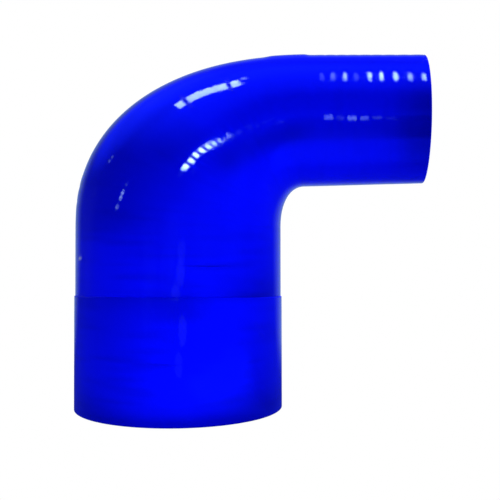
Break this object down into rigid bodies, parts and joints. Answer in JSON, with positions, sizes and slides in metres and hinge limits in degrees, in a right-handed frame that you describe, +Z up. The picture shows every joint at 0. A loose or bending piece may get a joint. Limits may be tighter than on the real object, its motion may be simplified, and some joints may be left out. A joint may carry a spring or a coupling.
{
  "type": "silicone elbow hose",
  "caption": "Right-angled reducing elbow hose in glossy blue silicone rubber, with a smooth through bore and square-cut ends, for joining a large pipe to a smaller one.",
  "frame": {"origin": "centre of the bounding box on the plane of the large cut end, on which the hose stands", "axes": "+Z up the large leg, +X along the small leg towards its end, +Y across the plane of the bend"},
  "size_m": [0.1494, 0.0894, 0.1506],
  "materials": {
    "blue_silicone": "gloss"
  },
  "bodies": {
    "root": {"elbow_hose": "blue_silicone"}
  },
  "joints": []
}
